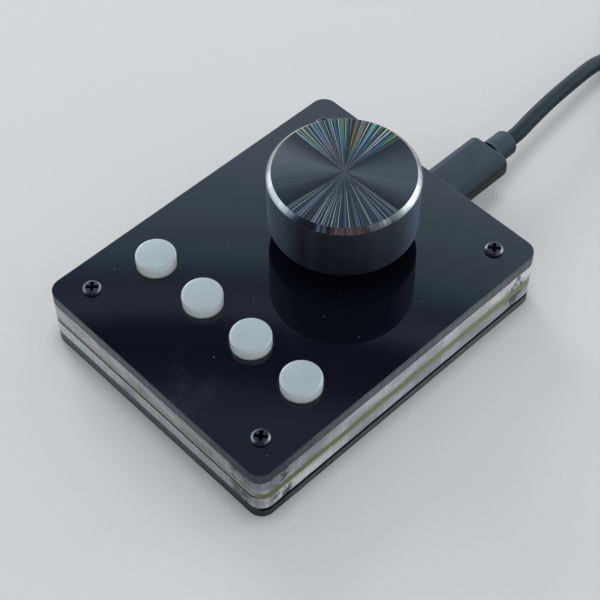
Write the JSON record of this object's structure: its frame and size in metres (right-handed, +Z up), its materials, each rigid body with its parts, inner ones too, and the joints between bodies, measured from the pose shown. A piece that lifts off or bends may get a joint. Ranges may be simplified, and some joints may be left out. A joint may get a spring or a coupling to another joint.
{
  "type": "macro keypad",
  "caption": "Layered acrylic macro keypad with a row of round push keys, one large push-and-turn knob and a plugged-in USB lead coiled beside it.",
  "frame": {"origin": "centre of the bottom plate's underside, on the surface that the keypad stands on", "axes": "+X to the right along the row of keys, +Y from the keys towards the side with the USB lead, +Z up, along the knob's axis"},
  "size_m": [0.0948, 0.2004, 0.0342],
  "materials": {
    "black_acrylic": "polished black acrylic with a slightly matt cut edge",
    "clear_acrylic": "clear cast acrylic with a polished cut edge",
    "board": "glass-fibre laminate with a dark solder mask and an olive cut edge",
    "screw_steel": "black-nickel plated steel, rubbed bright round the head's rim",
    "insert_brass": "plain brass",
    "switch_moulding": "matt moulding",
    "bright_steel": "tinned sheet steel",
    "milky_cap": "milky white moulding, satin",
    "anodised_knob": "dark anodised turned aluminium with a bright cut rim and a spun top",
    "zinc_casting": "die-cast zinc alloy",
    "rotor_moulding": "pale moulding",
    "component_black": "moulded epoxy",
    "component_tan": "ceramic with tinned ends",
    "cable_jacket": "dark slate jacket, satin",
    "plug_moulding": "dark slate overmould, fine matt texture",
    "plug_steel": "nickel-plated steel",
    "contact_moulding": "white insulator with contacts",
    "tie_fabric": "hook-and-loop strap"
  },
  "bodies": {
    "case": {"top_plate": "black_acrylic", "upper_frame": "clear_acrylic", "circuit_board": "board", "lower_frame": "clear_acrylic", "bottom_plate": "black_acrylic", "case_screws": "screw_steel", "threaded_inserts": "insert_brass", "switch_bases": "switch_moulding", "switch_covers": "bright_steel", "switch_terminals": "bright_steel", "switch_dome_1": "bright_steel", "switch_dome_2": "bright_steel", "switch_dome_3": "bright_steel", "switch_dome_4": "bright_steel", "encoder_base": "switch_moulding", "encoder_housing": "zinc_casting", "encoder_bracket": "bright_steel", "encoder_terminals": "bright_steel", "encoder_dome": "bright_steel", "usb_socket_shell": "bright_steel", "usb_socket_tongue": "switch_moulding", "controller_chip": "component_black", "chip_leads": "bright_steel", "resistors": "component_black", "capacitors": "component_tan", "usb_plug_shell": "plug_steel", "usb_plug_body": "plug_moulding", "usb_plug_boot": "plug_moulding", "cable_lead": "cable_jacket", "cable_coil": "cable_jacket", "cable_tail": "cable_jacket", "cable_tie": "tie_fabric", "usb_a_boot": "plug_moulding", "usb_a_body": "plug_moulding", "usb_a_shell": "plug_steel", "usb_a_tongue": "contact_moulding"},
    "key_1": {"keycap_1": "milky_cap", "switch_plunger_1": "switch_moulding"},
    "key_2": {"keycap_2": "milky_cap", "switch_plunger_2": "switch_moulding"},
    "key_3": {"keycap_3": "milky_cap", "switch_plunger_3": "switch_moulding"},
    "key_4": {"keycap_4": "milky_cap", "switch_plunger_4": "switch_moulding"},
    "push": {"push_plunger": "rotor_moulding"},
    "dial": {"encoder_shaft": "bright_steel", "knob": "anodised_knob", "knob_set_screw": "screw_steel"},
    "rotor": {"encoder_rotor": "rotor_moulding"}
  },
  "joints": [
    {"name": "key_1_press", "type": "slide", "parent": "case", "child": "key_1", "axis": [0, 0, -1], "range_m": [0, 0.0003], "stiffness_N_per_m": 2000, "springref_m": -0.0005, "deforming": ["switch_dome_1"]},
    {"name": "key_2_press", "type": "slide", "parent": "case", "child": "key_2", "axis": [0, 0, -1], "range_m": [0, 0.0003], "stiffness_N_per_m": 2000, "springref_m": -0.0005, "deforming": ["switch_dome_2"]},
    {"name": "key_3_press", "type": "slide", "parent": "case", "child": "key_3", "axis": [0, 0, -1], "range_m": [0, 0.0003], "stiffness_N_per_m": 2000, "springref_m": -0.0005, "deforming": ["switch_dome_3"]},
    {"name": "key_4_press", "type": "slide", "parent": "case", "child": "key_4", "axis": [0, 0, -1], "range_m": [0, 0.0003], "stiffness_N_per_m": 2000, "springref_m": -0.0005, "deforming": ["switch_dome_4"]},
    {"name": "knob_press", "type": "slide", "parent": "case", "child": "push", "axis": [0, 0, -1], "range_m": [0, 0.0005], "stiffness_N_per_m": 5000, "springref_m": -0.0003, "deforming": ["encoder_dome"]},
    {"name": "knob_turn", "type": "hinge", "parent": "push", "child": "dial", "pos_m": [0, 0.014, 0.0203], "axis": [0, 0, 1], "continuous": true},
    {"name": "rotor_turn", "type": "hinge", "parent": "case", "child": "rotor", "pos_m": [0, 0.014, 0.0114], "axis": [0, 0, 1], "continuous": true}
  ],
  "couplings": [
    {"joint": "rotor_turn", "follows": "knob_turn", "ratio": 1}
  ]
}
